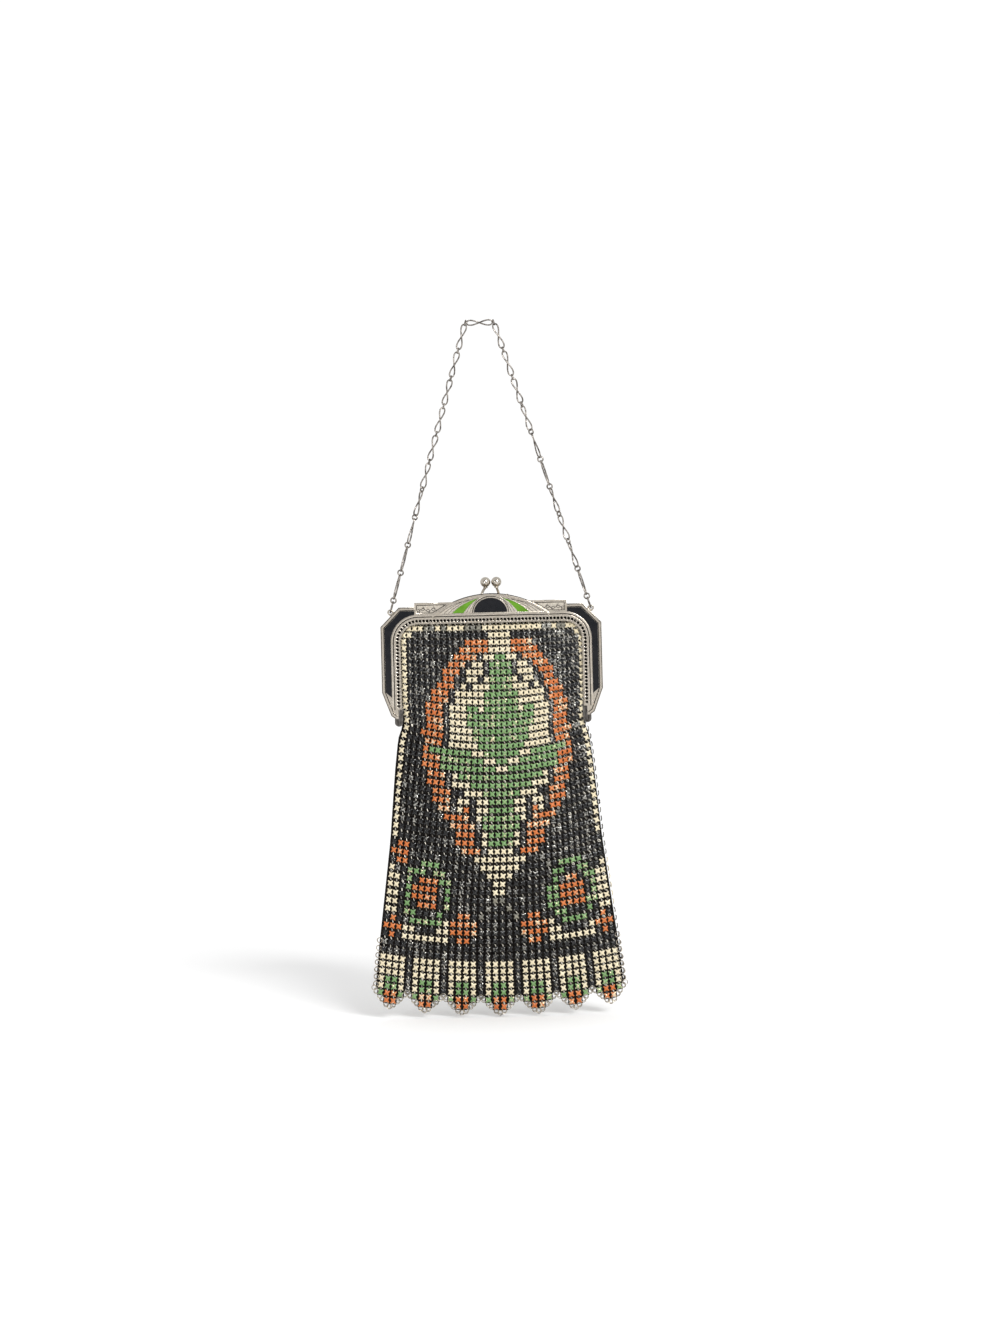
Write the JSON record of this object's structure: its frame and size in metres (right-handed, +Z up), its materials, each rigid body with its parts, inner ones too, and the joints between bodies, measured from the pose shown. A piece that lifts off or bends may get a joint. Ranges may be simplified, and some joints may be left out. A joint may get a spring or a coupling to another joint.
{
  "type": "metal mesh purse",
  "caption": "Flat metal mesh purse with an enamelled hinged frame, a kiss-lock, a wire-link chain and a hem of pointed mesh tabs, shown hanging by its chain.",
  "frame": {"origin": "middle of the chain's top link, where the purse hangs", "axes": "+Z up, the front of the purse faces -Y, +X to the right of someone who faces the front"},
  "size_m": [0.1142, 0.0172, 0.317],
  "materials": {
    "silver_frame": "worn silver plate with a satin polish",
    "dark_silver": "tarnished silver plate",
    "black_enamel": "glossy fired enamel",
    "green_enamel": "glossy fired enamel",
    "mesh_enamel": "baked enamel on small metal plates in black, cream, green and orange"
  },
  "bodies": {
    "root": {"frame_front": "silver_frame", "frame_back": "silver_frame", "hinge_pin_right": "dark_silver", "hinge_pin_left": "dark_silver", "enamel_panel_right_front": "black_enamel", "enamel_panel_right_back": "black_enamel", "enamel_panel_left_front": "black_enamel", "enamel_panel_left_back": "black_enamel", "enamel_dome_front": "black_enamel", "enamel_dome_back": "black_enamel", "enamel_stripe_right_front": "green_enamel", "enamel_stripe_right_back": "green_enamel", "enamel_stripe_left_front": "green_enamel", "enamel_stripe_left_back": "green_enamel", "clasp_ball_front": "silver_frame", "clasp_ball_back": "silver_frame", "chain": "dark_silver", "mesh_bag": "mesh_enamel"}
  },
  "joints": []
}
